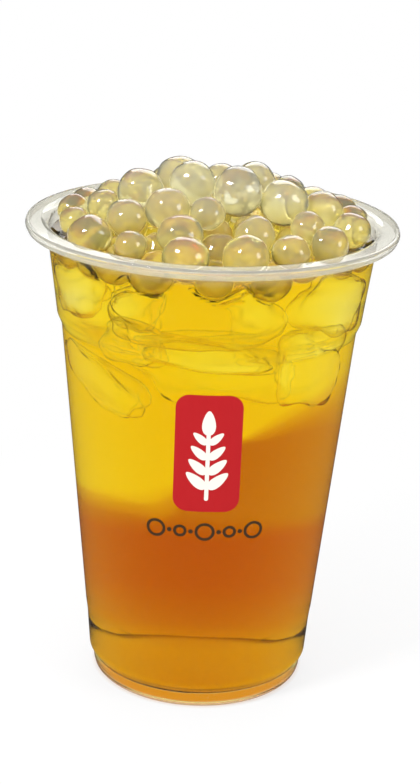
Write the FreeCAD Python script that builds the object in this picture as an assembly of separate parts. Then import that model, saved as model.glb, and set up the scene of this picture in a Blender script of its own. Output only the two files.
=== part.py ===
"""Bubble tea in a clear takeaway cup: the cup, its two layers of tea and a heap of white pearls.

Millimetres, +Z up. The origin is the centre of the foot ring's resting plane, and the printed
side of the cup faces -Y. Bearings are degrees from that front, positive towards +X.
"""
import FreeCAD, Part
import math
import os

# Driving sizes of the cup's wall, radii measured to its outside
RIM_RADIUS = 47.5         # over the rolled flange
CUP_HEIGHT = 124.3
WALL = 0.6                # side wall and base
FOOT_RADIUS = 27.95       # of the foot ring at the table
FOOT_HEIGHT = 4.6         # up to the step over the foot
FOOT_LEAN = 0.65          # how much wider the foot is at its step
FOOT_STEP_WIDTH = 0.9
FOOT_STEP_RISE = 1.2
LOWER_STEP_Z = 17.4       # middle of the small step low on the wall
LOWER_STEP_RISE = 3.6
LOWER_STEP_WIDTH = 0.5
LOWER_WALL_LEAN = 0.75    # how much wider the wall grows from the foot to the lower step
LEDGE_DROP = 25.5         # from the rim down to the middle of the stacking ledge
LEDGE_RISE = 2.8
LEDGE_WIDTH = 1.2
LEDGE_RADIUS = 38.1       # just under the stacking ledge

# Driving sizes of the foot ring and the flange
FOOT_RING_WIDTH = 3.2
FOOT_RECESS = 3.0         # height of the raised base panel
FOOT_RECESS_LEAN = 0.6    # how much narrower the recess is at the panel
FLANGE_WIDTH = 5.2        # from the wall's outside to the flange's edge
FLANGE_THICKNESS = 0.8
FLANGE_SKIRT = 2.5        # how far the flange's edge turns down
SKIRT_THICKNESS = 0.6
SKIRT_TUCK = 0.6          # how far the skirt's lower edge turns back in
BULGE_DROP = 1.2          # from the rim down to the flange's widest line
CREST_INSET = 0.3         # from the widest line in to the flange's upper edge

# Roundings
ROUND_FOOT = 1.1
ROUND_RECESS = 0.35
ROUND_FOOT_STEP = 0.5
ROUND_LOWER_STEP = 1.5
ROUND_LEDGE = 0.9         # over the stacking ledge
ROUND_UNDER_LEDGE = 0.2
ROUND_MOUTH = 2.2         # from the flange into the mouth
ROUND_UNDER_FLANGE = 1.4
ROUND_SKIRT = 0.2
ROUND_BULGE = 0.8
ROUND_CREST = 0.5
ROUND_HEAP_FOOT = 4.0
ROUND_HEAP_WIDEST = 2.0
ROUND_HEAP_SIDE = 1.5
ROUND_HEAP_SHOULDER = 12.0
ROUND_HEAP_CROWN = 8.0

# Driving sizes of the drink
TEA_CLEARANCE = 0.1       # between the tea and the inside of the wall
TEA_DROP = 5.1            # from the rim down to the surface of the tea
LAYER_LEFT_Z = 60.0       # where the amber and the yellow layer meet, at the left
LAYER_MIDDLE_Z = 75.0
LAYER_RIGHT_Z = 88.0

# Driving sizes of the heap of pearls
PEARL_DIAMETER = 10.4     # a middling pearl
HEAP_GAP = 3.6            # from the tea's edge in to the body of the heap
HEAP_DEPTH = 12.0         # how far the heap reaches down into the tea
HEAP_SHOULDER_IN = 14.8   # from the tea's edge in to the body's shoulder
HEAP_SHOULDER_RISE = 5.6  # from the surface of the tea up to the shoulder
HEAP_CROWN_RADIUS = 11.0
HEAP_CROWN_RISE = 12.4    # from the surface of the tea up to the body's top
HEAP_FOOT_IN = 6.0        # from the body's side in to its underside
HEAP_FOOT_RISE = 1.0      # how much higher the underside is there than in the middle
HEAP_SIDE_DROP = 2.0      # from the surface of the tea down to the body's widest line
HEAP_SIDE_RISE = 2.8      # from the surface of the tea up to the end of its side
HEAP_SIDE_LEAN = 0.6      # how much narrower the side is there

# Rings of pearls, from the wall inwards, all in pearl diameters. Each is an oval: how far it
# lies in from the tea's edge at the sides and at the front and back, then its height over the
# tea in front, at the sides and at the back, then the bearing and size of each pearl.
PEARL_RINGS = (
    (0.52, 0.77, 0.40, 0.54, 0.23, (
        (-112, .78), (-93, .80), (-75, .72), (-56, 1.06), (-33, .76), (-10, 1.04), (13, 1.02),
        (32, .86), (52, .92), (76, .92), (95, .78), (114, .82), (133, .94), (152, .88),
        (170, 1.02), (189, .86), (208, .98), (227, .90))),
    (1.30, 1.57, 0.62, 0.81, 0.56, (
        (-110, .84), (-85, .80), (-52, .94), (-17, 1.06), (22, .96), (56, .80), (86, 1.00),
        (113, .84), (141, .96), (169, .88), (197, 1.00), (225, .90))),
    (2.15, 2.46, 0.98, 1.15, 0.96, (
        (-84, 1.12), (-38, 1.06), (-4, .80), (62, 1.14), (97, .84), (134, .90), (175, .94),
        (218, .98))),
    (3.09, 3.27, 1.33, 1.40, 1.29, (
        (-112, 1.02), (-34, 1.04), (34, 1.18), (96, .94), (165, .88))),
)

LEDGE_Z = CUP_HEIGHT - LEDGE_DROP
TEA_LEVEL = CUP_HEIGHT - TEA_DROP
MOUTH_RADIUS = RIM_RADIUS - FLANGE_WIDTH


def rounded_face(corners):
    """A closed face in the XZ plane through (radius, height, rounding) corners."""
    count = len(corners)
    points = [FreeCAD.Vector(r, 0, z) for r, z, _ in corners]
    ends = []
    for i, (_, _, rounding) in enumerate(corners):
        corner = points[i]
        if not rounding:
            ends.append((corner, None, corner))
            continue
        before = (points[i - 1] - corner).normalize()
        after = (points[(i + 1) % count] - corner).normalize()
        half = before.getAngle(after) / 2
        reach = rounding / math.tan(half)
        middle = (before + after).normalize() * (rounding / math.sin(half) - rounding)
        ends.append((corner + before * reach, corner + middle, corner + after * reach))
    edges = []
    for i, (start, middle, end) in enumerate(ends):
        if middle is not None:
            edges.append(Part.Arc(start, middle, end).toShape())
        following = ends[(i + 1) % count][0]
        edges.append(Part.LineSegment(end, following).toShape())
    return Part.Face(Part.Wire(edges))


def turned(corners):
    """The solid that the corners' outline sweeps about the Z axis."""
    return rounded_face(corners).revolve(FreeCAD.Vector(), FreeCAD.Vector(0, 0, 1), 360)


def foot_line(inset):
    """Corners of the foot ring from the axis outwards, moved into the cup by inset."""
    recess_radius = FOOT_RADIUS - FOOT_RING_WIDTH + inset
    return [
        (0, FOOT_RECESS + inset, 0),
        (recess_radius - FOOT_RECESS_LEAN, FOOT_RECESS + inset, FOOT_RECESS_LEAN),
        (recess_radius, inset, ROUND_RECESS),
        (FOOT_RADIUS - inset, inset, ROUND_FOOT - inset),
    ]


def wall_line(inset, top):
    """Corners of the wall from the foot up to the height of top, moved into the cup by inset."""
    foot_top = FOOT_RADIUS + FOOT_LEAN
    wall_foot = foot_top + FOOT_STEP_WIDTH
    lower_step = wall_foot + LOWER_WALL_LEAN
    ledge_top = LEDGE_RADIUS + LEDGE_WIDTH
    ledge_end = LEDGE_Z + LEDGE_RISE / 2
    slope = (MOUTH_RADIUS - ledge_top) / (CUP_HEIGHT - ledge_end)
    outside = [
        (foot_top, FOOT_HEIGHT, ROUND_FOOT_STEP),
        (wall_foot, FOOT_HEIGHT + FOOT_STEP_RISE, ROUND_FOOT_STEP),
        (lower_step, LOWER_STEP_Z - LOWER_STEP_RISE / 2, ROUND_LOWER_STEP),
        (lower_step + LOWER_STEP_WIDTH, LOWER_STEP_Z + LOWER_STEP_RISE / 2, ROUND_LOWER_STEP),
        (LEDGE_RADIUS, LEDGE_Z - LEDGE_RISE / 2, ROUND_UNDER_LEDGE),
        (ledge_top, ledge_end, ROUND_LEDGE),
        (ledge_top + slope * (top - ledge_end), top, 0),
    ]
    return [(radius - inset, z, rounding) for radius, z, rounding in outside]


def flange_line():
    """Corners of the rolled flange from under it, round its skirt and up to its crest."""
    underside = CUP_HEIGHT - FLANGE_THICKNESS
    skirt_end = CUP_HEIGHT - FLANGE_SKIRT
    skirt_outside = RIM_RADIUS - SKIRT_TUCK
    return [
        (MOUTH_RADIUS, underside, ROUND_UNDER_FLANGE),
        (skirt_outside + CREST_INSET - SKIRT_THICKNESS, underside, ROUND_SKIRT),
        (skirt_outside - SKIRT_THICKNESS, skirt_end, ROUND_SKIRT),
        (skirt_outside, skirt_end, ROUND_SKIRT),
        (RIM_RADIUS, CUP_HEIGHT - BULGE_DROP, ROUND_BULGE),
        (RIM_RADIUS - CREST_INSET, CUP_HEIGHT, ROUND_CREST),
    ]


def cup():
    """The thin-walled cup with its foot ring, two steps and rolled flange."""
    outside = foot_line(0) + wall_line(0, CUP_HEIGHT)[:-1] + flange_line()
    mouth = (MOUTH_RADIUS - WALL, CUP_HEIGHT, ROUND_MOUTH)
    inside = foot_line(WALL) + wall_line(WALL, CUP_HEIGHT)[:-1] + [mouth]
    return turned(outside + inside[::-1])


def tea():
    """All of the tea: the cup's inside up to the level, with its clearance."""
    inset = WALL + TEA_CLEARANCE
    return turned(foot_line(inset) + wall_line(inset, TEA_LEVEL) + [(0, TEA_LEVEL, 0)])


def tea_edge_radius():
    """Radius of the tea's surface where it meets the wall."""
    return wall_line(WALL + TEA_CLEARANCE, TEA_LEVEL)[-1][0]


def below_layer_line():
    """Everything under the curved surface where the amber layer meets the yellow one."""
    reach = RIM_RADIUS
    line = Part.BSplineCurve()
    line.interpolate([
        FreeCAD.Vector(-reach, -reach, LAYER_LEFT_Z),
        FreeCAD.Vector(0, -reach, LAYER_MIDDLE_Z),
        FreeCAD.Vector(reach, -reach, LAYER_RIGHT_Z),
    ])
    low_left = FreeCAD.Vector(-reach, -reach, -WALL)
    low_right = FreeCAD.Vector(reach, -reach, -WALL)
    edges = [
        line.toShape(),
        Part.LineSegment(line.EndPoint, low_right).toShape(),
        Part.LineSegment(low_right, low_left).toShape(),
        Part.LineSegment(low_left, line.StartPoint).toShape(),
    ]
    return Part.Face(Part.Wire(edges)).extrude(FreeCAD.Vector(0, 2 * reach, 0))


def pearls():
    """The pearls that show at the heap's outside, as spheres at the places of their rings."""
    edge = tea_edge_radius()
    spheres = []
    for side_inset, end_inset, front_rise, side_rise, back_rise, row in PEARL_RINGS:
        for bearing, size in row:
            across = math.sin(math.radians(bearing))
            forward = math.cos(math.radians(bearing))
            end_rise = front_rise if forward > 0 else back_rise
            rise = side_rise * across ** 2 + end_rise * forward ** 2
            centre = FreeCAD.Vector(
                (edge - side_inset * PEARL_DIAMETER) * across,
                -(edge - end_inset * PEARL_DIAMETER) * forward,
                TEA_LEVEL + rise * PEARL_DIAMETER)
            spheres.append(Part.makeSphere(PEARL_DIAMETER * size / 2, centre))
    return spheres


def heap_body():
    """The low dome that the pearls of the heap's outside are fused to."""
    low = TEA_LEVEL - HEAP_DEPTH
    edge = tea_edge_radius()
    side = edge - HEAP_GAP
    return turned([
        (0, low, 0),
        (side - HEAP_FOOT_IN, low + HEAP_FOOT_RISE, ROUND_HEAP_FOOT),
        (side, TEA_LEVEL - HEAP_SIDE_DROP, ROUND_HEAP_WIDEST),
        (side - HEAP_SIDE_LEAN, TEA_LEVEL + HEAP_SIDE_RISE, ROUND_HEAP_SIDE),
        (edge - HEAP_SHOULDER_IN, TEA_LEVEL + HEAP_SHOULDER_RISE, ROUND_HEAP_SHOULDER),
        (HEAP_CROWN_RADIUS, TEA_LEVEL + HEAP_CROWN_RISE, ROUND_HEAP_CROWN),
        (0, TEA_LEVEL + HEAP_CROWN_RISE, 0),
    ])


def main():
    os.makedirs("parts", exist_ok=True)
    heap = heap_body().multiFuse(pearls()).removeSplitter()
    drink = tea().cut(heap)
    lower_half = below_layer_line()
    nodes = {
        "cup": cup(),
        "tea_lower": drink.common(lower_half),
        "tea_upper": drink.cut(lower_half),
        "pearl_heap": heap,
    }
    for name, shape in nodes.items():
        if len(shape.Solids) == 1:
            shape = shape.Solids[0]
        shape.exportStep("parts/%s.step" % name)
        print(name, len(shape.Solids), "solid,", round(shape.Volume), "cubic mm")


main()
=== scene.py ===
"""Looks of the bubble tea: clear cup, two layers of tea with ice, and a heap of white pearls.

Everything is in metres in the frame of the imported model: +Z up, the printed front facing -Y.
Bearings are degrees from that front, positive towards +X.
"""
import bmesh
import bpy
import math
import random
from mathutils import Matrix, Vector, noise


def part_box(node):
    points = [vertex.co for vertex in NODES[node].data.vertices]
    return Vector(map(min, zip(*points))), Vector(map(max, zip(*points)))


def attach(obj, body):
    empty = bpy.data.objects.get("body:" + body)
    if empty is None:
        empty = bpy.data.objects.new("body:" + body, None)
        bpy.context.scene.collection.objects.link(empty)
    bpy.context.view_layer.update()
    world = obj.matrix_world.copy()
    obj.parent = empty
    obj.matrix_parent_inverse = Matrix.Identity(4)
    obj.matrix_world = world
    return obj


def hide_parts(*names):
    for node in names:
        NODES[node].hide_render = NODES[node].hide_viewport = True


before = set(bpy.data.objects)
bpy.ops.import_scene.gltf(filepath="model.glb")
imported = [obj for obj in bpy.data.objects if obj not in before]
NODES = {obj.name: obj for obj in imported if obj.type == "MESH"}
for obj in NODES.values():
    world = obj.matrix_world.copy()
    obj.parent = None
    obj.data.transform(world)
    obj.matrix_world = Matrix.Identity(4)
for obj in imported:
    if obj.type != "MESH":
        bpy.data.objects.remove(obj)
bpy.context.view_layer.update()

MM = 0.001
RIM_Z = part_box("cup")[1].z
TEA_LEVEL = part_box("tea_upper")[1].z
TEA_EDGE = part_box("tea_upper")[1].x

# Camera, in metres, degrees and millimetres of lens
CAMERA_DISTANCE = 0.4503
CAMERA_HEIGHT = 0.2395
CAMERA_PITCH = 19.752
CAMERA_YAW = 0.119
CAMERA_ROLL = 2.253
CAMERA_LENS = 83.7
SENSOR_WIDTH = 36

# Strength of the white surround for diffuse rays and in reflections; it is 1 where it is seen
DIFFUSE_LIGHT = 0.65
MIRRORED_LIGHT = 0.06
SHADOW_SHARE = 0.22         # how much of the cup's shadow shows on the white floor

# Share of red, green and blue light that gets through ten millimetres
YELLOW_PASS = (0.982, 0.916, 0.37)
AMBER_PASS = (0.930, 0.835, 0.75)
DEEP_PASS = (0.985, 0.915, 0.90)
PEARL_PASS = (0.999, 0.972, 0.74)

# Inside of the cup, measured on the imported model
AXIS_GAP = 0.0001           # the rays go down this little off the axis
PROFILE_START = 0.0065      # under this the points go along the floor, above it up the wall
FLOOR_STEPS = 60
WALL_STEPS = 150
FLOOR_REACH = 0.0275        # the floor's points end here
WALL_REACH = 0.028          # and the wall's all lie farther out than this

# Liquid that fills the cup
INTO_WALL = 0.25 * MM       # how far the tea's outside reaches into the cup's wall
AMBER_INTO_WALL = 0.18 * MM
DEEP_INTO_WALL = 0.11 * MM
FULL_INTO_REACH = 0.024     # along the floor, liquid reaches in less towards the axis than here
SEGMENTS = 160              # columns of the pieces that are turned about the axis
SIDE_ROWS = 90
TEA_RINGS = 60              # of the surface of the drink
LAYER_RINGS = 40            # of the surfaces inside it
TOP_GUESS = 0.6             # where the search for a surface's edge starts, as a share of its level
TOP_ROUNDS = 12
MENISCUS_RISE = 1.1 * MM        # at the wall
PEARL_MENISCUS_RISE = 2.0 * MM
MENISCUS_REACH = 2.0 * MM
HOLLOW_SCALE = 0.994        # size of the hollows round pearls and ice, which leave no gap
SHARP_ANGLE = math.radians(35)

# The surface where amber turns to yellow, as seen from the front: level at the left, a step
# behind the print, then a slope up to the right
LAYER_LEFT_Z = 54 * MM
LAYER_STEP = (-10 * MM, 9 * MM)     # where the step starts and ends
LAYER_STEP_RISE = 24 * MM
LAYER_RIGHT_Z = 97 * MM
LAYER_SIDE_Z = 75 * MM              # the wall's radius here is the reach of the slopes
LAYER_LEFT_BACK_RISE = -10 * MM     # how much higher the back lies than the front
LAYER_RIGHT_BACK_RISE = -18 * MM
AMBER_LOW_Z = 6 * MM                # under this the tea is yellow again
DEEP_Z = (18 * MM, 50 * MM)         # bottom and top of the darkest tea
DEEP_BACK_RISE = -12 * MM
WAVE_HEIGHT = 1.6 * MM
WAVE_SCALE = 60
AMBER_SEED, DEEP_SEED = 3, 8

# Blocks of ice sunk in the yellow tea: centre, size and turn in degrees
ICE_BLOCKS = (
    ((-2, -25, 109), (38, 15, 16), (8, -6, 4)),
    ((0, -22, 97), (30, 18, 7), (-6, 5, -8)),
    ((23, -18, 93), (17, 20, 19), (10, 12, 20)),
    ((-26, -19, 88), (26, 16, 9), (0, 24, -30)),
    ((-17, -26, 100), (15, 12, 10), (0, 10, -30)),
    ((28, -14, 109), (18, 17, 15), (0, 20, 30)),
    ((-30, -12, 111), (15, 18, 13), (15, -10, -35)),
    ((-16, -24, 110), (12, 10, 13), (10, 15, -20)),
    ((2, 6, 88), (26, 22, 16), (12, 8, 30)),
    ((-20, 14, 103), (22, 20, 18), (0, 14, 40)),
    ((16, 16, 103), (24, 20, 20), (18, -8, 10)),
)

ICE_POWER = 3.4             # the higher, the more a block is like a box than like a ball
ICE_LUMPS = 0.32, 1.2       # depth and scale of the large unevenness
ICE_DENTS = 0.03, 3.5       # and of the small one
ICE_SEED_STEP = 5.3
ICE_OFF_WALL = 0.4 * MM
ICE_DETAIL = 5

# Print on the front
CUP_REACH = 80 * MM         # farther out than the cup's outside
PRINT_BEARING = math.radians(1.5)
PRINT_LIFT = 0.05 * MM
PRINT_SINK = 0.05 * MM
PRINT_STEP = 0.8 * MM       # the longest stretch of an outline
FIELD_Z = 74.4 * MM
FIELD_WIDTH = 16.4 * MM
FIELD_HEIGHT = 31.8 * MM
FIELD_ROUND = 3.6 * MM
FIELD_ROWS = 20
STROKE = 1.0 * MM
STEM_FOOT = -0.40           # from the field's middle, as a share of its height
STEM_LENGTH = 0.58          # as a share of the field's height
STEM_ROUND = 0.45           # as a share of the stroke
STEM_LIFT = 1.3             # over the leaves, which it crosses
LEAF_PAIRS = 4
LEAF_START, LEAF_STEP = 0.18, 0.22      # of the pairs, along the stem
LEAF_SHRINK = 0.1           # from pair to pair
LEAF_OFF_STEM = 0.3         # as a share of the stroke
LEAF_SIZE = 6.4 * MM, 2.7 * MM
LEAF_TILT = 48
TOP_LEAF_START = 0.97
TOP_LEAF_SIZE = 6.6 * MM, 3.2 * MM
LEAF_BELLY = 0.3            # how far a leaf's widest place moves towards its foot
ROW_Z = 52.8 * MM
ROW_WIDTH = 29.5 * MM
ROW_STROKE = 0.75 * MM
ROW_SIZES = (5.0, 1.2, 3.4, 1.2, 5.0, 1.2, 3.4, 1.2, 5.0)      # diameters in millimetres
LEAST_RING = 2              # smaller ones are dots
RED = (0.47, 0.006, 0.010, 1)
WHITE = (0.86, 0.82, 0.75, 1)
BROWN = (0.055, 0.028, 0.012, 1)

# Pearls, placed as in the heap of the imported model
PEARL_DIAMETER = 10.4 * MM
PEARL_ROOM = 1.06           # how far ice keeps off a pearl's centre, as a share of its radius
PLUMP = 1.05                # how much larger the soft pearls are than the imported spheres
SQUASH = 0.95               # how near two soft pearls come, as a share of their radii
SETTLE_ROUNDS = 60
OUTSIDE_SHARE = 0.06        # of a push that a pearl at the outside takes from one inside
PEARL_OFF_WALL = 0.3 * MM
PEARL_DETAIL = 4
LUMP_DEPTH, LUMP_SCALE = 0.08, 1.3
LUMP_SEED_STEPS = 7.1, 3.7
PLACE_SEED, SHAPE_SEED = 5, 11
SQUEEZE = 0.96, 1.04        # least and most size across
SQUEEZE_TALL = 0.9, 1       # and upwards
SOAKED_Z = TEA_LEVEL + 4 * MM       # tea has coloured the pearls up to here
CLEAR_Z = TEA_LEVEL + 15 * MM       # and they are clear from here on
SOAKED_COLOUR = (1.0, 0.92, 0.50, 1)
CLEAR_COLOUR = (1.0, 0.99, 0.92, 1)
# Pearls at the outside of the heap, ring by ring: how far the ring lies in from the tea's edge at
# the sides and at the ends, and how high at the front, the sides and the back, as shares of
# PEARL_DIAMETER; then the bearing and size of each pearl
PEARL_RINGS = (
    (0.52, 0.77, 0.40, 0.54, 0.23, (
        (-112, .78), (-93, .80), (-75, .72), (-56, 1.06), (-33, .76), (-10, 1.04), (13, 1.02),
        (32, .86), (52, .92), (76, .92), (95, .78), (114, .82), (133, .94), (152, .88),
        (170, 1.02), (189, .86), (208, .98), (227, .90))),
    (1.30, 1.57, 0.62, 0.81, 0.56, (
        (-110, .84), (-85, .80), (-52, .94), (-17, 1.06), (22, .96), (56, .80), (86, 1.00),
        (113, .84), (141, .96), (169, .88), (197, 1.00), (225, .90))),
    (2.15, 2.46, 0.98, 1.15, 0.96, (
        (-84, 1.12), (-38, 1.06), (-4, .80), (62, 1.14), (97, .84), (134, .90), (175, .94),
        (218, .98))),
    (3.09, 3.27, 1.33, 1.40, 1.29, (
        (-112, 1.02), (-34, 1.04), (34, 1.18), (96, .94), (165, .88))),
)
# Pearls under the outside of the heap: height, then the reach and number of each ring
INNER_PEARLS = (
    (TEA_LEVEL + 5.5 * MM, ((12.5 * MM, 8), (2.5 * MM, 2))),
    (TEA_LEVEL + 2.2 * MM, ((31.0 * MM, 17), (22.5 * MM, 11))),
    (TEA_LEVEL + 0.5 * MM, ((13.0 * MM, 7), (3.0 * MM, 2))),
)
INNER_SIZE = 0.82, 1.0      # least and most, as a share of PEARL_DIAMETER
INNER_TURN = 0.2            # how far one wanders along its ring, as a share of the spacing
INNER_RISE = 1              # and up or down, in millimetres

# Cup: clear up to the flange, which is a little milky
MILKY_Z = RIM_Z - 6.0 * MM, RIM_Z - 1.5 * MM
CLEAR_PASS, MILKY_PASS = 1.0, 0.81

# Room
FLOOR_SIZE = 3.0
FOOT_PAINTED_AMBER_LIGHT = (0.72, 0.29, 0.012, 1)      # painted amber light and shade on the floor under the foot, standing in for light that comes through the tea
PAINTED_AMBER_EDGE = 24 * MM, 29 * MM            # where the painted amber light fades to white
SHADOW_EDGE = 30 * MM, 160 * MM         # where the shadow fades out
LAMP_AIM = (0, 0, 0.09)
LAMPS = (
    # name, place, size, power, and whether it shows through the drink
    ("key", (-0.45, -0.40, 0.70), (0.18, 0.18), 4.8, True),
    ("fill", (0.7, -0.35, 0.45), (0.4, 0.4), 2.6, False),
    ("back", (0.1, 0.8, 0.6), (0.8, 0.5), 3, False),
)
MAX_BOUNCES = 40
GLOSSY_BOUNCES = 12


# ---------------------------------------------------------------- helpers

def new_piece(name, vertices, faces, material, slot, smooth=True):
    """A mesh object from its vertices and faces, which rides on the one body."""
    mesh = bpy.data.meshes.new(name)
    mesh.from_pydata(vertices, [], faces)
    mesh.validate()
    mesh.update()
    if smooth:
        mesh.polygons.foreach_set("use_smooth", [True] * len(mesh.polygons))
    piece = bpy.data.objects.new(name, mesh)
    bpy.context.scene.collection.objects.link(piece)
    mesh.materials.append(material)
    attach(piece, "root")
    return piece


def sphere_grid(level):
    """Vertices and faces of a unit ball of nearly even triangles."""
    ball = bmesh.new()
    bmesh.ops.create_icosphere(ball, subdivisions=level, radius=1)
    vertices = [v.co.copy() for v in ball.verts]
    faces = [tuple(v.index for v in f.verts) for f in ball.faces]
    ball.free()
    return vertices, faces


def principled(name, **values):
    """A material with one Principled shader and the given socket values."""
    material = bpy.data.materials.new(name)
    material.use_nodes = True
    shader = material.node_tree.nodes["Principled BSDF"]
    for socket, value in values.items():
        shader.inputs[socket.replace("_", " ")].default_value = value
    return material, material.node_tree, shader


def add_absorption(tree, pass_share):
    """Volume absorption that lets the given shares of light through ten millimetres."""
    rates = [-math.log(share) / 0.010 for share in pass_share]
    density = max(rates)
    volume = tree.nodes.new("ShaderNodeVolumeAbsorption")
    volume.inputs["Color"].default_value = [1 - rate / density for rate in rates] + [1]
    volume.inputs["Density"].default_value = density
    tree.links.new(volume.outputs[0], tree.nodes["Material Output"].inputs["Volume"])


def mapped(tree, value, start=0, end=1, low=0, high=1):
    """A value that goes from low to high while the given one goes from start to end."""
    ramp = tree.nodes.new("ShaderNodeMapRange")
    ramp.inputs["From Min"].default_value = start
    ramp.inputs["From Max"].default_value = end
    ramp.inputs["To Min"].default_value = low
    ramp.inputs["To Max"].default_value = high
    tree.links.new(value, ramp.inputs["Value"])
    return ramp.outputs[0]


def object_place(tree):
    """The place of a point in its object's own frame."""
    return tree.nodes.new("ShaderNodeTexCoord").outputs["Object"]


def height_ramp(tree, start, end, low, high):
    """A value that goes from low to high between two heights."""
    split = tree.nodes.new("ShaderNodeSeparateXYZ")
    tree.links.new(object_place(tree), split.inputs[0])
    return mapped(tree, split.outputs["Z"], start, end, low, high)


def colour_mix(tree, factor, first, second):
    """A colour that goes from the first to the second while factor goes from 0 to 1."""
    mix = tree.nodes.new("ShaderNodeMix")
    mix.data_type = "RGBA"
    mix.inputs["A"].default_value = first
    mix.inputs["B"].default_value = second
    tree.links.new(factor, mix.inputs["Factor"])
    return mix.outputs["Result"]


# ---------------------------------------------------------------- camera

def make_camera():
    """The camera in front of the cup, looking down on it."""
    camera = bpy.data.objects.new("camera", bpy.data.cameras.new("camera"))
    bpy.context.scene.collection.objects.link(camera)
    camera.data.lens = CAMERA_LENS
    camera.data.sensor_width = SENSOR_WIDTH
    turn = (Matrix.Rotation(math.radians(-CAMERA_YAW), 4, "Z")
            @ Matrix.Rotation(math.radians(90 - CAMERA_PITCH), 4, "X")
            @ Matrix.Rotation(math.radians(CAMERA_ROLL), 4, "Z"))
    camera.matrix_world = Matrix.Translation((0, -CAMERA_DISTANCE, CAMERA_HEIGHT)) @ turn
    bpy.context.scene.camera = camera


# ---------------------------------------------------------------- inside of the cup

def cup_profile():
    """Radius and height of the cup's inside from the axis up to the tea's level."""
    cup = NODES["cup"]
    outward, down = Vector((1, 0, 0)), Vector((0, 0, -1))
    points = []
    foot_radius = cup.ray_cast(Vector((0, 0, PROFILE_START)), outward)[1].x
    for i in range(FLOOR_STEPS):
        r = foot_radius * i / FLOOR_STEPS
        hit = cup.ray_cast(Vector((max(r, AXIS_GAP), 0, PROFILE_START)), down)
        points.append((r, hit[1].z))
    for i in range(WALL_STEPS + 1):
        z = PROFILE_START + (TEA_LEVEL - PROFILE_START) * i / WALL_STEPS
        hit = cup.ray_cast(Vector((0, 0, z)), outward)
        points.append((hit[1].x, z))
    return points


PROFILE = cup_profile()


def wall_radius(z):
    """Inside radius of the cup's wall at a height above its foot."""
    previous = PROFILE[0]
    for point in PROFILE:
        if point[1] >= z and point[1] > previous[1] and point[0] > WALL_REACH:
            share = (z - previous[1]) / (point[1] - previous[1])
            return previous[0] + (point[0] - previous[0]) * max(0, min(1, share))
        previous = point
    return PROFILE[-1][0]


# ---------------------------------------------------------------- pearls

def ring_pearls():
    """Centre and radius of each pearl at the outside of the heap."""
    found = []
    for side_inset, end_inset, front_rise, side_rise, back_rise, row in PEARL_RINGS:
        for bearing, size in row:
            across = math.sin(math.radians(bearing))
            forward = math.cos(math.radians(bearing))
            end_rise = front_rise if forward > 0 else back_rise
            rise = side_rise * across ** 2 + end_rise * forward ** 2
            found.append([
                (TEA_EDGE - side_inset * PEARL_DIAMETER) * across,
                -(TEA_EDGE - end_inset * PEARL_DIAMETER) * forward,
                TEA_LEVEL + rise * PEARL_DIAMETER,
                PEARL_DIAMETER * size / 2 * PLUMP,
            ])
    return found


def inner_pearls(rng):
    """Pearls that fill the heap under its outside, layer by layer."""
    found = []
    for z, rings in INNER_PEARLS:
        for reach, count in rings:
            for i in range(count):
                turn = 2 * math.pi * (i + rng.uniform(-INNER_TURN, INNER_TURN)) / count
                found.append([
                    reach * math.sin(turn), -reach * math.cos(turn),
                    z + rng.uniform(-INNER_RISE, INNER_RISE) * MM,
                    PEARL_DIAMETER / 2 * rng.uniform(*INNER_SIZE),
                ])
    return found


def ice_blocks(balls):
    """Centre, vertices and faces of each block of ice: rounded, uneven and clear of the pearls."""
    ball_vertices, ball_faces = sphere_grid(ICE_DETAIL)
    lump_depth, lump_scale = ICE_LUMPS
    dent_depth, dent_scale = ICE_DENTS
    blocks = []
    for seed, (centre, size, turn) in enumerate(ICE_BLOCKS):
        spin = Matrix.Rotation(math.radians(turn[2]), 3, "Z")
        spin = spin @ Matrix.Rotation(math.radians(turn[1]), 3, "Y")
        spin = spin @ Matrix.Rotation(math.radians(turn[0]), 3, "X")
        lump_seed = Vector((seed * ICE_SEED_STEP, 0, seed))
        dent_seed = Vector((0, seed * ICE_SEED_STEP, seed))
        vertices = []
        for v in ball_vertices:
            place = v * sum(abs(c) ** ICE_POWER for c in v) ** (-1 / ICE_POWER)
            place *= 1 + lump_depth * noise.noise(place * lump_scale + lump_seed)
            place *= 1 + dent_depth * noise.noise(place * dent_scale + dent_seed)
            place = Vector(place[i] * size[i] / 2 for i in range(3))
            place = (spin @ place + Vector(centre)) * MM
            reach = math.hypot(place.x, place.y)
            room = wall_radius(place.z) - ICE_OFF_WALL
            if reach > room:
                place.x *= room / reach
                place.y *= room / reach
            vertices.append(clear_of(balls, Vector(centre) * MM, place))
        blocks.append((Vector(centre) * MM, vertices, ball_faces))
    return blocks


def clear_of(balls, centre, place):
    """Where the way from a block's centre to its surface meets a pearl, or else the surface."""
    way = place - centre
    share = 1.0
    for x, y, z, radius in balls:
        to = Vector((x, y, z)) - centre
        room = radius * PEARL_ROOM
        along = way.dot(to) / way.length_squared
        beside = (to - way * along).length
        if along > 0 and beside < room < to.length:
            share = min(share, along - math.sqrt(room ** 2 - beside ** 2) / way.length)
    return centre + way * share


def settle(balls, outside):
    """Push overlapping pearls apart; the first ones, at the outside, give way least."""
    for _ in range(SETTLE_ROUNDS):
        for i in range(len(balls)):
            for j in range(i + 1, len(balls)):
                a, b = balls[i], balls[j]
                apart = Vector(b[:3]) - Vector(a[:3])
                lap = (a[3] + b[3]) * SQUASH - apart.length
                if lap <= 0:
                    continue
                push = apart.normalized() * lap
                share = OUTSIDE_SHARE if i < outside <= j else 0.5
                for k in range(3):
                    a[k] -= push[k] * share
                    b[k] += push[k] * (1 - share)
        for ball in balls:
            reach = math.hypot(ball[0], ball[1])
            room = wall_radius(min(ball[2], TEA_LEVEL)) - ball[3] - PEARL_OFF_WALL
            if reach > room:
                ball[0] *= room / reach
                ball[1] *= room / reach


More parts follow.
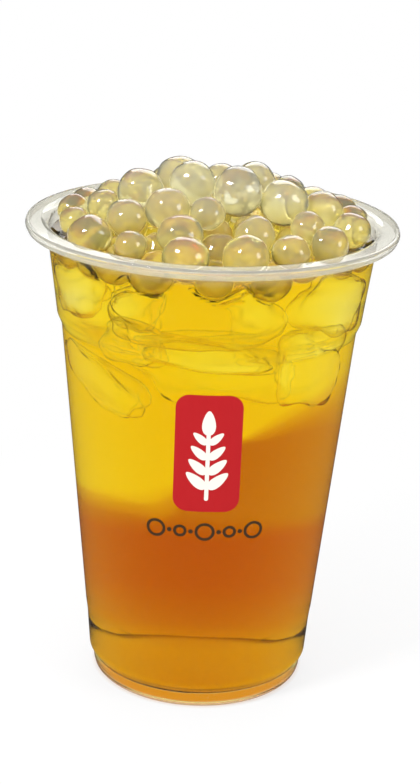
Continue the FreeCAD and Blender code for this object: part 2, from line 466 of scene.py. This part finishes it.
def lumpy(vertex, seed):
    """How far a point of a unit ball lies from its centre on an uneven pearl."""
    shift = Vector((seed * LUMP_SEED_STEPS[0], seed * LUMP_SEED_STEPS[1], seed))
    return 1 + LUMP_DEPTH * noise.noise(vertex * LUMP_SCALE + shift)


def pearl_shapes(balls):
    """Centre, vertices and faces of each pearl."""
    rng = random.Random(SHAPE_SEED)
    ball_vertices, ball_faces = sphere_grid(PEARL_DETAIL)
    shapes = []
    for seed, (x, y, z, radius) in enumerate(balls):
        axis = Vector((rng.uniform(-1, 1), rng.uniform(-1, 1), rng.uniform(-1, 1)))
        turn = Matrix.Rotation(rng.uniform(0, 6.28), 3, axis.normalized())
        squeeze = Vector((
            rng.uniform(*SQUEEZE), rng.uniform(*SQUEEZE), rng.uniform(*SQUEEZE_TALL)))
        centre = Vector((x, y, z))
        vertices = []
        for v in ball_vertices:
            p = turn @ (v * lumpy(v, seed))
            vertices.append(centre + p * squeeze * radius)
        shapes.append((centre, vertices, ball_faces))
    return shapes


def joined(shapes, scale=1.0):
    """One list of vertices and faces for several shapes, each scaled about its centre."""
    vertices, faces = [], []
    for centre, points, shape_faces in shapes:
        first = len(vertices)
        vertices += [centre + (p - centre) * scale for p in points]
        faces += [tuple(first + i for i in face) for face in shape_faces]
    return vertices, faces


def place_pearls():
    """Centre and radius of every pearl, those at the outside of the heap first."""
    outside = ring_pearls()
    balls = outside + inner_pearls(random.Random(PLACE_SEED))
    settle(balls, len(outside))
    return balls


def make_pearls(shapes):
    """Wet, clear pearls, which tea has coloured low in the heap."""
    material, tree, shader = principled(
        "pearls", Roughness=0.03, IOR=1.36, Transmission_Weight=0.84,
        Subsurface_Weight=1.0, Subsurface_Radius=(1, 1, 0.9), Subsurface_Scale=0.004,
        Coat_Weight=1.0, Coat_IOR=1.48, Coat_Roughness=0.03)
    add_absorption(tree, PEARL_PASS)
    high = height_ramp(tree, SOAKED_Z, CLEAR_Z, 0, 1)
    colour = colour_mix(tree, high, SOAKED_COLOUR, CLEAR_COLOUR)
    tree.links.new(colour, shader.inputs["Base Color"])
    piece = new_piece("pearls", *joined(shapes), material, "pearl")
    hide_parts("pearl_heap")


# ---------------------------------------------------------------- tea

def tea_surface(x, y, balls):
    """Height of the tea's surface, with its rise at the wall and at the pearls."""
    edge = PROFILE[-1][0] + INTO_WALL
    gap = edge - math.hypot(x, y)
    height = TEA_LEVEL + MENISCUS_RISE * math.exp(-gap / MENISCUS_REACH)
    for cx, cy, cz, radius in balls:
        if abs(cz - TEA_LEVEL) > radius:
            continue
        away = math.hypot(x - cx, y - cy)
        section = math.sqrt(radius ** 2 - (cz - TEA_LEVEL) ** 2)
        rise = PEARL_MENISCUS_RISE * math.exp(-max(0, away - section) / MENISCUS_REACH)
        height = max(height, TEA_LEVEL + rise)
    return height


def fill(top_at, into, rings, low=0):
    """Vertices and faces of liquid that fills the cup from a height up to a surface."""
    columns = []
    for c in range(SEGMENTS):
        turn = 2 * math.pi * c / SEGMENTS
        across, forward = math.sin(turn), -math.cos(turn)
        z = TEA_LEVEL * TOP_GUESS
        for _ in range(TOP_ROUNDS):
            r = wall_radius(z) + into
            z = top_at(r * across, r * forward)
        columns.append((across, forward, z))
    floor_count = len([r for r, _ in PROFILE if r < FLOOR_REACH])
    floor_points = [(r, max(z, low)) for r, z in PROFILE[:floor_count]]
    start_z = max(PROFILE[floor_count][1], low)
    vertices = [(0, 0, floor_points[0][1] - into)]
    grid = []
    for across, forward, top_z in columns:
        column = []
        for r, z in floor_points[1:]:
            reach = r + into * min(1, r / FULL_INTO_REACH)
            column.append(len(vertices))
            vertices.append((reach * across, reach * forward, z - into))
        for i in range(SIDE_ROWS + 1):
            z = start_z + (top_z - start_z) * i / SIDE_ROWS
            reach = wall_radius(z) + into
            column.append(len(vertices))
            vertices.append((reach * across, reach * forward, z))
        edge = wall_radius(top_z) + into
        for i in range(1, rings):
            reach = edge * (1 - i / rings)
            x, y = reach * across, reach * forward
            column.append(len(vertices))
            vertices.append((x, y, top_at(x, y)))
        grid.append(column)
    vertices.append((0, 0, top_at(0, 0)))
    last = len(vertices) - 1
    faces = []
    for c in range(SEGMENTS):
        here, there = grid[c], grid[(c + 1) % SEGMENTS]
        faces.append((0, there[0], here[0]))
        for a, b in zip(range(len(here) - 1), range(1, len(here))):
            faces.append((here[a], there[a], there[b], here[b]))
        faces.append((here[-1], there[-1], last))
    return vertices, faces


def smooth_step(value, start, end):
    """0 before start, 1 after end and an even curve between them."""
    share = max(0, min(1, (value - start) / (end - start)))
    return share * share * (3 - 2 * share)


def wave(x, y, seed):
    """A gentle unevenness of liquid that is mixing."""
    return WAVE_HEIGHT * noise.noise(Vector((x * WAVE_SCALE, y * WAVE_SCALE, seed)))


def layer_surface(x, y):
    """Height of the surface where the amber tea meets the yellow."""
    side = wall_radius(LAYER_SIDE_Z)
    stepped = LAYER_LEFT_Z + LAYER_STEP_RISE
    height = LAYER_LEFT_Z + LAYER_STEP_RISE * smooth_step(x, *LAYER_STEP)
    if x > LAYER_STEP[1]:
        height += (LAYER_RIGHT_Z - stepped) * (x - LAYER_STEP[1]) / (side - LAYER_STEP[1])
    back_rise = LAYER_LEFT_BACK_RISE + (
        LAYER_RIGHT_BACK_RISE - LAYER_LEFT_BACK_RISE) * smooth_step(x, *LAYER_STEP)
    return height + back_rise * (y / side + 1) / 2 + wave(x, y, AMBER_SEED)


def deep_surface(x, y):
    """Height of the surface over the darkest tea."""
    height = DEEP_Z[1]
    return height + DEEP_BACK_RISE * (y / wall_radius(height) + 1) / 2 + wave(x, y, DEEP_SEED)


def carve(piece, vertices, faces):
    """Cut closed shapes out of a piece."""
    mesh = bpy.data.meshes.new("cutter")
    mesh.from_pydata(vertices, [], faces)
    mesh.polygons.foreach_set("use_smooth", [True] * len(mesh.polygons))
    cutter = bpy.data.objects.new("cutter", mesh)
    bpy.context.scene.collection.objects.link(cutter)
    cut = piece.modifiers.new("carve", "BOOLEAN")
    cut.operation = "DIFFERENCE"
    cut.solver = "MANIFOLD"
    cut.object = cutter
    bpy.context.view_layer.update()
    shaped = piece.evaluated_get(bpy.context.evaluated_depsgraph_get())
    mesh = bpy.data.meshes.new_from_object(shaped)
    piece.modifiers.clear()
    piece.data = mesh
    mesh.set_sharp_from_angle(angle=SHARP_ANGLE)
    bpy.data.objects.remove(cutter)


def make_tea(balls, sunk):
    """The yellow tea, which fills the cup, and the amber that darkens its lower part."""
    yellow, tree, _ = principled(
        "tea_yellow", Base_Color=(1, 1, 1, 1), Roughness=0, IOR=1.333, Transmission_Weight=1,
        Specular_Tint=(0.1, 0.1, 0.1, 1))
    add_absorption(tree, YELLOW_PASS)
    vertices, faces = fill(lambda x, y: tea_surface(x, y, balls), INTO_WALL, TEA_RINGS)
    upper = new_piece("tea_yellow", vertices, faces, yellow, "tea_yellow")
    carve(upper, *joined(sunk, HOLLOW_SCALE))
    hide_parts("tea_upper")

    for name, share, surface, into, low in (
            ("tea_amber", AMBER_PASS, layer_surface, AMBER_INTO_WALL, AMBER_LOW_Z),
            ("tea_deep", DEEP_PASS, deep_surface, DEEP_INTO_WALL, DEEP_Z[0])):
        material, tree, _ = principled(
            name, Base_Color=(1, 1, 1, 1), Roughness=0, IOR=1.0, Transmission_Weight=1)
        add_absorption(tree, share)
        piece = new_piece(
            name, *fill(surface, into, LAYER_RINGS, low), material, "tea_amber")
        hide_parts("tea_lower")


def make_ice(blocks):
    """Clear ice with cloudy patches, in the yellow tea."""
    material, tree, shader = principled(
        "ice", Base_Color=(1, 1, 1, 1), IOR=1.31, Transmission_Weight=1,
        Specular_Tint=(0.1, 0.1, 0.1, 1))
    texture = tree.nodes.new("ShaderNodeTexNoise")
    texture.inputs["Scale"].default_value = 80
    texture.inputs["Detail"].default_value = 2
    tree.links.new(object_place(tree), texture.inputs["Vector"])
    cloudy = mapped(tree, texture.outputs["Fac"], 0.45, 0.65, 0.0, 0.16)
    tree.links.new(cloudy, shader.inputs["Roughness"])
    new_piece("ice", *joined(blocks), material, "ice")


# ---------------------------------------------------------------- cup

def dress_cup():
    """Clear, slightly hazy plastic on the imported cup."""
    material, tree, shader = principled(
        "cup_plastic", Base_Color=(0.995, 0.98, 0.89, 1), Roughness=0.05, IOR=1.49,
        Specular_Tint=(0.15, 0.15, 0.15, 1))
    milky = height_ramp(tree, *MILKY_Z, CLEAR_PASS, MILKY_PASS)
    tree.links.new(milky, shader.inputs["Transmission Weight"])
    cup = NODES["cup"]
    cup.data.materials.clear()
    cup.data.materials.append(material)


# ---------------------------------------------------------------- print

def on_wall(across, z, lift):
    """A point of the print, so far across from its middle and off the cup's outside."""
    bearing = PRINT_BEARING + across / wall_radius(z)
    outward = Vector((math.sin(bearing), -math.cos(bearing), 0))
    start = outward * CUP_REACH + Vector((0, 0, z))
    return NODES["cup"].ray_cast(start, -outward)[1] + outward * lift


def fine(outline):
    """The outline with points added so that no stretch is longer than the wall's curve allows."""
    points = []
    for start, end in zip(outline, outline[1:] + outline[:1]):
        parts = max(1, math.ceil(math.dist(start, end) / PRINT_STEP))
        points += [(start[0] + (end[0] - start[0]) * i / parts,
                    start[1] + (end[1] - start[1]) * i / parts) for i in range(parts)]
    return points


def add_patch(vertices, faces, outline, inner=None, rows=6, top_lift=PRINT_LIFT):
    """Add a thin closed shape on the wall: filled, or a band if it has an inner outline."""
    if not inner:
        outline = fine(outline)
    count = len(outline)
    middle = (sum(p[0] for p in outline) / count, sum(p[1] for p in outline) / count)
    layers = []
    for lift in (top_lift, -PRINT_SINK):
        layer = []
        if not inner:
            layer.append([len(vertices)] * count)
            vertices.append(on_wall(*middle, lift))
        for k in range(0 if inner else 1, rows + 1):
            layer.append(range(len(vertices), len(vertices) + count))
            for i in range(count):
                start = inner[i] if inner else middle
                across = start[0] + (outline[i][0] - start[0]) * k / rows
                z = start[1] + (outline[i][1] - start[1]) * k / rows
                vertices.append(on_wall(across, z, lift))
        layers.append(layer)
    top, under = layers
    strips = list(zip(top, top[1:])) + [(b, a) for a, b in zip(under, under[1:])]
    strips.append((top[-1], under[-1]))
    if inner:
        strips.append((under[0], top[0]))
    for a, b in strips:
        for i in range(count):
            j = (i + 1) % count
            faces.append(tuple(dict.fromkeys((a[i], b[i], b[j], a[j]))))


def rounded_box(x, z, width, height, rounding, steps):
    """Outline of an upright rectangle with round corners."""
    points = []
    for corner, (sx, sz) in enumerate(((1, 1), (-1, 1), (-1, -1), (1, -1))):
        for i in range(steps + 1):
            turn = math.pi / 2 * (corner + i / steps)
            points.append((x + sx * (width / 2 - rounding) + rounding * math.cos(turn),
                           z + sz * (height / 2 - rounding) + rounding * math.sin(turn)))
    return points


def circle(x, z, diameter, steps=32):
    """Outline of a circle."""
    turns = [2 * math.pi * i / steps for i in range(steps)]
    return [(x + diameter / 2 * math.cos(t), z + diameter / 2 * math.sin(t)) for t in turns]


def leaf(x, z, length, width, tilt, steps=28):
    """Outline of a leaf that starts at a point and leans by tilt degrees from upright."""
    along = (math.sin(math.radians(tilt)), math.cos(math.radians(tilt)))
    points = []
    for i in range(steps):
        turn = 2 * math.pi * i / steps
        reach = length * (1 - math.cos(turn)) / 2
        side = width / 2 * math.sin(turn) * (1 + LEAF_BELLY * math.cos(turn))
        points.append((x + along[0] * reach + along[1] * side,
                       z + along[1] * reach - along[0] * side))
    return points


def make_print():
    """A red field with a white sprig, and a row of brown rings under it."""
    field, white, brown = ([], []), ([], []), ([], [])
    outline = rounded_box(0, FIELD_Z, FIELD_WIDTH, FIELD_HEIGHT, FIELD_ROUND, 12)
    add_patch(*field, outline, rows=FIELD_ROWS)

    stem_foot = FIELD_Z + STEM_FOOT * FIELD_HEIGHT
    stem_length = STEM_LENGTH * FIELD_HEIGHT
    over = 2 * PRINT_LIFT
    outline = rounded_box(
        0, stem_foot + stem_length / 2, STROKE, stem_length, STROKE * STEM_ROUND, 3)
    add_patch(*white, outline, top_lift=STEM_LIFT * over)
    for i in range(LEAF_PAIRS):
        z = stem_foot + stem_length * (LEAF_START + LEAF_STEP * i)
        size = 1 - LEAF_SHRINK * i
        for side in (1, -1):
            outline = leaf(side * LEAF_OFF_STEM * STROKE, z, LEAF_SIZE[0] * size,
                           LEAF_SIZE[1] * size, side * LEAF_TILT)
            add_patch(*white, outline, top_lift=over)
    outline = leaf(0, stem_foot + stem_length * TOP_LEAF_START, *TOP_LEAF_SIZE, 0)
    add_patch(*white, outline, top_lift=over)

    x = -ROW_WIDTH / 2
    space = (ROW_WIDTH - sum(ROW_SIZES) * MM) / (len(ROW_SIZES) - 1)
    for size in ROW_SIZES:
        outer = size * MM
        middle = x + outer / 2
        inside = circle(middle, ROW_Z, outer - 2 * ROW_STROKE) if size > LEAST_RING else None
        add_patch(*brown, circle(middle, ROW_Z, outer), inside, rows=2)
        x += outer + space

    for name, shape, colour, slot in (
            ("print_red", field, RED, "ink_red"),
            ("print_white", white, WHITE, "ink_white"),
            ("print_brown", brown, BROWN, "ink_brown")):
        material, _, _ = principled(
            name, Base_Color=colour, Roughness=0.5, Specular_IOR_Level=0.2)
        new_piece(name, *shape, material, slot, smooth=False)


# ---------------------------------------------------------------- room

def white_surround(tree):
    """Whether a ray sees the white surround, and how strong the surround is for it."""
    light_path = tree.nodes.new("ShaderNodeLightPath")
    seen = tree.nodes.new("ShaderNodeMath")
    seen.operation = "MAXIMUM"
    tree.links.new(light_path.outputs["Is Camera Ray"], seen.inputs[0])
    tree.links.new(light_path.outputs["Is Transmission Ray"], seen.inputs[1])
    glossy = light_path.outputs["Is Glossy Ray"]
    unseen = mapped(tree, glossy, low=DIFFUSE_LIGHT, high=MIRRORED_LIGHT)
    strength = tree.nodes.new("ShaderNodeMix")
    strength.inputs["B"].default_value = 1.0
    tree.links.new(seen.outputs[0], strength.inputs["Factor"])
    tree.links.new(unseen, strength.inputs["A"])
    shown = tree.nodes.new("ShaderNodeMath")
    shown.operation = "MAXIMUM"
    tree.links.new(seen.outputs[0], shown.inputs[0])
    tree.links.new(glossy, shown.inputs[1])
    return shown.outputs[0], strength.outputs["Result"]


def floor_material():
    """A white floor that glows for the rays that see it, with painted amber light and shade under
    the cup's foot, and takes a little of the shadow.
    """
    material = bpy.data.materials.new("floor")
    material.use_nodes = True
    tree = material.node_tree
    tree.nodes.clear()
    away = tree.nodes.new("ShaderNodeVectorMath")
    away.operation = "LENGTH"
    tree.links.new(object_place(tree), away.inputs[0])
    distance = away.outputs["Value"]
    diffuse = tree.nodes.new("ShaderNodeBsdfDiffuse")
    diffuse.inputs["Color"].default_value = (0.9, 0.9, 0.9, 1)
    glow = tree.nodes.new("ShaderNodeEmission")
    # the glow under the foot is painted amber light and shade, as of light through the tea
    painted_amber = colour_mix(tree, mapped(tree, distance, *PAINTED_AMBER_EDGE), FOOT_PAINTED_AMBER_LIGHT, (1, 1, 1, 1))
    tree.links.new(painted_amber, glow.inputs["Color"])
    seen, strength = white_surround(tree)
    tree.links.new(strength, glow.inputs["Strength"])
    camera_ray = tree.nodes.new("ShaderNodeLightPath").outputs["Is Camera Ray"]
    share = tree.nodes.new("ShaderNodeMath")
    share.operation = "MULTIPLY_ADD"
    tree.links.new(camera_ray, share.inputs[0])
    tree.links.new(mapped(tree, distance, *SHADOW_EDGE, -SHADOW_SHARE, 0), share.inputs[1])
    tree.links.new(seen, share.inputs[2])
    mix = tree.nodes.new("ShaderNodeMixShader")
    tree.links.new(share.outputs[0], mix.inputs[0])
    tree.links.new(diffuse.outputs[0], mix.inputs[1])
    tree.links.new(glow.outputs[0], mix.inputs[2])
    output = tree.nodes.new("ShaderNodeOutputMaterial")
    tree.links.new(mix.outputs[0], output.inputs["Surface"])
    return material


def make_lamp(name, place, size, power, through):
    """A soft rectangular lamp that points at the drink."""
    light = bpy.data.lights.new(name, "AREA")
    light.shape = "RECTANGLE"
    light.size, light.size_y = size
    light.energy = power
    holder = bpy.data.objects.new(name, light)
    holder.location = place
    holder.visible_transmission = through
    holder.rotation_mode = "QUATERNION"
    holder.rotation_quaternion = (Vector(LAMP_AIM) - Vector(place)).to_track_quat("-Z", "Y")
    bpy.context.scene.collection.objects.link(holder)


def make_room():
    """A pale floor, a white surround and soft studio lamps."""
    scene = bpy.context.scene
    scene.cycles.max_bounces = MAX_BOUNCES
    scene.cycles.transmission_bounces = MAX_BOUNCES
    scene.cycles.glossy_bounces = GLOSSY_BOUNCES
    scene.world = bpy.data.worlds.new("room")
    scene.world.use_nodes = True
    tree = scene.world.node_tree
    background = tree.nodes["Background"]
    _, strength = white_surround(tree)
    tree.links.new(strength, background.inputs["Strength"])
    background.inputs["Color"].default_value = (1, 1, 1, 1)

    corners = ((-1, -1), (1, -1), (1, 1), (-1, 1))
    floor_mesh = bpy.data.meshes.new("floor")
    floor_mesh.from_pydata(
        [(FLOOR_SIZE * x, FLOOR_SIZE * y, 0) for x, y in corners], [], [(0, 1, 2, 3)])
    floor_mesh.materials.append(floor_material())
    floor = bpy.data.objects.new("floor", floor_mesh)
    scene.collection.objects.link(floor)

    for lamp in LAMPS:
        make_lamp(*lamp)
    scene.view_settings.view_transform = "Standard"


make_camera()
dress_cup()
PEARLS = place_pearls()
PEARL_SHAPES = pearl_shapes(PEARLS)
ICE = ice_blocks(PEARLS)
make_pearls(PEARL_SHAPES)
make_ice(ICE)
make_tea(PEARLS, PEARL_SHAPES + ICE)
make_print()
make_room()
